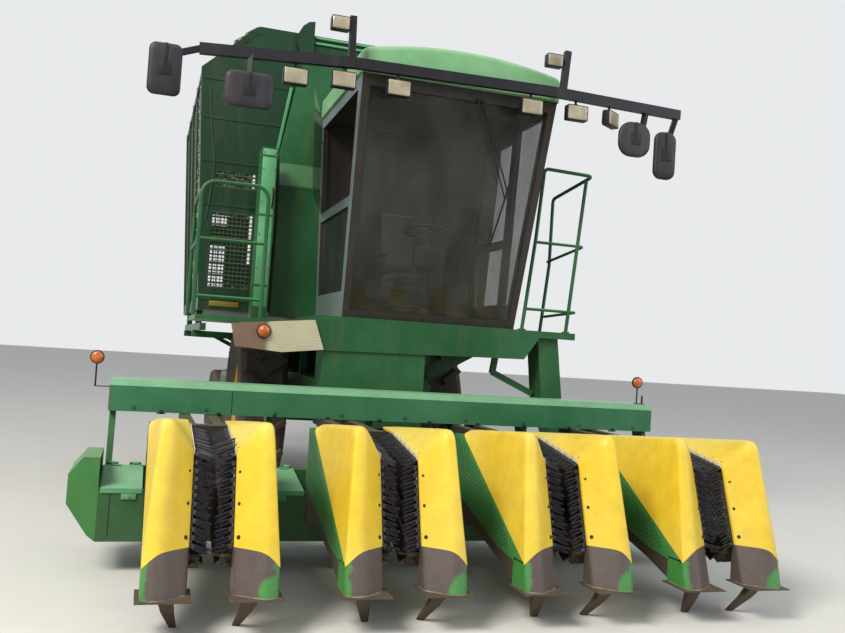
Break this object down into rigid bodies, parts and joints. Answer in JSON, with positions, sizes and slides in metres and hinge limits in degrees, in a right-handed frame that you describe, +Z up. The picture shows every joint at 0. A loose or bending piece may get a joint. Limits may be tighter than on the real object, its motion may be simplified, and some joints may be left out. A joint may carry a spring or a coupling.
{
  "type": "cotton stripper",
  "caption": "Self-propelled cotton stripper: row header with stripper rolls and cross auger, offset cab, tipping mesh basket, driven front wheels and steered rear wheels.",
  "frame": {"origin": "on the ground under the middle of the machine's bounding rectangle", "axes": "+Z up, -Y towards the header's front, +X towards the machine's left side, where the cab door and the dumping side are"},
  "size_m": [4.62, 7.8003, 4.7],
  "materials": {
    "green_paint": "gloss paint, faded and dusty",
    "light_green_paint": "sun-faded gloss paint",
    "yellow_paint": "gloss paint with worn edges",
    "dark_paint": "satin black",
    "cast_steel": "oily, dusty",
    "bare_steel": "worn by the crop",
    "rod_chrome": "polished",
    "pale_sheet": "weathered",
    "tyre_rubber": "dusty",
    "brush_rubber": "worn",
    "tinted_glass": "dusty",
    "lamp_plastic": "weathered",
    "mirror_shell": "matt",
    "seat_cloth": "worn",
    "orange_plastic": "weathered",
    "mesh_steel": "lint-caught mesh"
  },
  "bodies": {
    "carrier": {"chassis_frame": "green_paint", "frame_members": "green_paint", "front_axle": "green_paint", "rear_axle": "green_paint", "engine_block": "cast_steel", "engine_covers": "green_paint", "exhaust_pipe": "dark_paint", "fuel_tank": "green_paint", "cab_platform": "green_paint", "deck_shields": "pale_sheet", "cab_body": "dark_paint", "cab_roof": "light_green_paint", "cab_glass": "tinted_glass", "operator_seat": "seat_cloth", "light_bar": "dark_paint", "work_lamps": "lamp_plastic", "mirrors": "mirror_shell", "handrails": "green_paint", "air_ducts": "green_paint"},
    "cab_door": {"cab_door": "dark_paint", "door_glass": "tinted_glass"},
    "header": {"row_tips": "yellow_paint", "row_hoods": "yellow_paint", "side_panels": "green_paint", "row_skids": "bare_steel", "end_shields": "green_paint", "row_frames": "green_paint", "brush_combs": "brush_rubber", "auger_trough": "green_paint", "trough_walls": "green_paint", "header_beam": "green_paint", "header_frame": "green_paint", "header_lamps": "orange_plastic"},
    "trough_lids": {"trough_lids": "light_green_paint"},
    "cross_auger": {"cross_auger": "bare_steel"},
    "roll_1_right": {"roll_1_right": "bare_steel"},
    "roll_1_left": {"roll_1_left": "bare_steel"},
    "roll_2_right": {"roll_2_right": "bare_steel"},
    "roll_2_left": {"roll_2_left": "bare_steel"},
    "roll_3_right": {"roll_3_right": "bare_steel"},
    "roll_3_left": {"roll_3_left": "bare_steel"},
    "roll_4_right": {"roll_4_right": "bare_steel"},
    "roll_4_left": {"roll_4_left": "bare_steel"},
    "lift_barrels": {"lift_barrels": "green_paint"},
    "lift_rods": {"lift_rods": "rod_chrome"},
    "drive_wheel_right": {"drive_tyre_right": "tyre_rubber", "drive_rim_right": "yellow_paint"},
    "knuckle_right": {"knuckle_right": "green_paint"},
    "steer_wheel_right": {"steer_tyre_right": "tyre_rubber", "steer_rim_right": "yellow_paint"},
    "drive_wheel_left": {"drive_tyre_left": "tyre_rubber", "drive_rim_left": "yellow_paint"},
    "knuckle_left": {"knuckle_left": "green_paint"},
    "steer_wheel_left": {"steer_tyre_left": "tyre_rubber", "steer_rim_left": "yellow_paint"},
    "basket": {"basket_frame": "green_paint", "basket_mesh": "mesh_steel"},
    "basket_gate": {"basket_gate": "green_paint"},
    "basket_barrels": {"basket_barrels": "green_paint"},
    "basket_rods": {"basket_rods": "rod_chrome"}
  },
  "joints": [
    {"name": "header_lift", "type": "hinge", "parent": "carrier", "child": "header", "pos_m": [0, -0.9, 0.95], "axis": [-1, 0, 0], "range_deg": [0, 18]},
    {"name": "lift_barrel_swing", "type": "hinge", "parent": "carrier", "child": "lift_barrels", "pos_m": [0, -0.64, 0.64], "axis": [-1, 0, 0], "range_deg": [0, 13.94]},
    {"name": "lift_rod_slide", "type": "slide", "parent": "lift_barrels", "child": "lift_rods", "axis": [0, -0.9918, -0.128], "range_m": [0, 0.102]},
    {"name": "trough_lid_swing", "type": "hinge", "parent": "header", "child": "trough_lids", "pos_m": [0, -2.062, 0.617], "axis": [-1, 0, 0], "range_deg": [0, 70]},
    {"name": "auger_turn", "type": "hinge", "parent": "header", "child": "cross_auger", "pos_m": [0, -2.3, 0.365], "axis": [1, 0, 0], "continuous": true},
    {"name": "roll_1_right_turn", "type": "hinge", "parent": "header", "child": "roll_1_right", "pos_m": [-1.608, -3.58, 0.35], "axis": [0, 0.9136, 0.4066], "continuous": true},
    {"name": "roll_1_left_turn", "type": "hinge", "parent": "header", "child": "roll_1_left", "pos_m": [-1.44, -3.58, 0.35], "axis": [0, 0.9136, 0.4066], "continuous": true},
    {"name": "roll_2_right_turn", "type": "hinge", "parent": "header", "child": "roll_2_right", "pos_m": [-0.592, -3.58, 0.35], "axis": [0, 0.9136, 0.4066], "continuous": true},
    {"name": "roll_2_left_turn", "type": "hinge", "parent": "header", "child": "roll_2_left", "pos_m": [-0.424, -3.58, 0.35], "axis": [0, 0.9136, 0.4066], "continuous": true},
    {"name": "roll_3_right_turn", "type": "hinge", "parent": "header", "child": "roll_3_right", "pos_m": [0.424, -3.58, 0.35], "axis": [0, 0.9136, 0.4066], "continuous": true},
    {"name": "roll_3_left_turn", "type": "hinge", "parent": "header", "child": "roll_3_left", "pos_m": [0.592, -3.58, 0.35], "axis": [0, 0.9136, 0.4066], "continuous": true},
    {"name": "roll_4_right_turn", "type": "hinge", "parent": "header", "child": "roll_4_right", "pos_m": [1.44, -3.58, 0.35], "axis": [0, 0.9136, 0.4066], "continuous": true},
    {"name": "roll_4_left_turn", "type": "hinge", "parent": "header", "child": "roll_4_left", "pos_m": [1.608, -3.58, 0.35], "axis": [0, 0.9136, 0.4066], "continuous": true},
    {"name": "drive_right_turn", "type": "hinge", "parent": "carrier", "child": "drive_wheel_right", "pos_m": [-0.85, 0.55, 0.85], "axis": [1, 0, 0], "continuous": true},
    {"name": "steer_right_swivel", "type": "hinge", "parent": "carrier", "child": "knuckle_right", "pos_m": [-0.69, 2.88, 0.55], "axis": [0, 0, 1], "range_deg": [-28, 28]},
    {"name": "steer_right_turn", "type": "hinge", "parent": "knuckle_right", "child": "steer_wheel_right", "pos_m": [-0.95, 2.88, 0.55], "axis": [1, 0, 0], "continuous": true},
    {"name": "drive_left_turn", "type": "hinge", "parent": "carrier", "child": "drive_wheel_left", "pos_m": [0.85, 0.55, 0.85], "axis": [1, 0, 0], "continuous": true},
    {"name": "steer_left_swivel", "type": "hinge", "parent": "carrier", "child": "knuckle_left", "pos_m": [0.69, 2.88, 0.55], "axis": [0, 0, 1], "range_deg": [-28, 28]},
    {"name": "steer_left_turn", "type": "hinge", "parent": "knuckle_left", "child": "steer_wheel_left", "pos_m": [0.95, 2.88, 0.55], "axis": [1, 0, 0], "continuous": true},
    {"name": "basket_tip", "type": "hinge", "parent": "carrier", "child": "basket", "pos_m": [1.4, 0, 1.695], "axis": [0, 1, 0], "range_deg": [0, 65]},
    {"name": "basket_gate_swing", "type": "hinge", "parent": "basket", "child": "basket_gate", "pos_m": [1.608, 0, 4.07], "axis": [0, -1, 0], "range_deg": [0, 75]},
    {"name": "tip_barrel_swing", "type": "hinge", "parent": "carrier", "child": "basket_barrels", "pos_m": [0.62, 0, 0.7], "axis": [0, 1, 0], "range_deg": [0, 4.37]},
    {"name": "tip_rod_slide", "type": "slide", "parent": "basket_barrels", "child": "basket_rods", "axis": [0.3537, 0, 0.9354], "range_m": [0, 0.4278]},
    {"name": "cab_door_swing", "type": "hinge", "parent": "carrier", "child": "cab_door", "pos_m": [1.159, -0.103, 1.735], "axis": [0.0367, 0, 0.9993], "range_deg": [0, 38]}
  ],
  "couplings": [
    {"joint": "lift_barrel_swing", "follows": "header_lift", "ratio": 0.74125},
    {"joint": "lift_rod_slide", "follows": "header_lift", "m_per_rad": 0.31204},
    {"joint": "tip_barrel_swing", "follows": "basket_tip", "ratio": 0.05797},
    {"joint": "tip_rod_slide", "follows": "basket_tip", "m_per_rad": 0.37182},
    {"joint": "steer_right_swivel", "follows": "steer_left_swivel", "ratio": 1},
    {"joint": "roll_1_left_turn", "follows": "roll_1_right_turn", "ratio": -1},
    {"joint": "roll_2_right_turn", "follows": "roll_1_right_turn", "ratio": 1},
    {"joint": "roll_2_left_turn", "follows": "roll_1_right_turn", "ratio": -1},
    {"joint": "roll_3_right_turn", "follows": "roll_1_right_turn", "ratio": 1},
    {"joint": "roll_3_left_turn", "follows": "roll_1_right_turn", "ratio": -1},
    {"joint": "roll_4_right_turn", "follows": "roll_1_right_turn", "ratio": 1},
    {"joint": "roll_4_left_turn", "follows": "roll_1_right_turn", "ratio": -1}
  ]
}
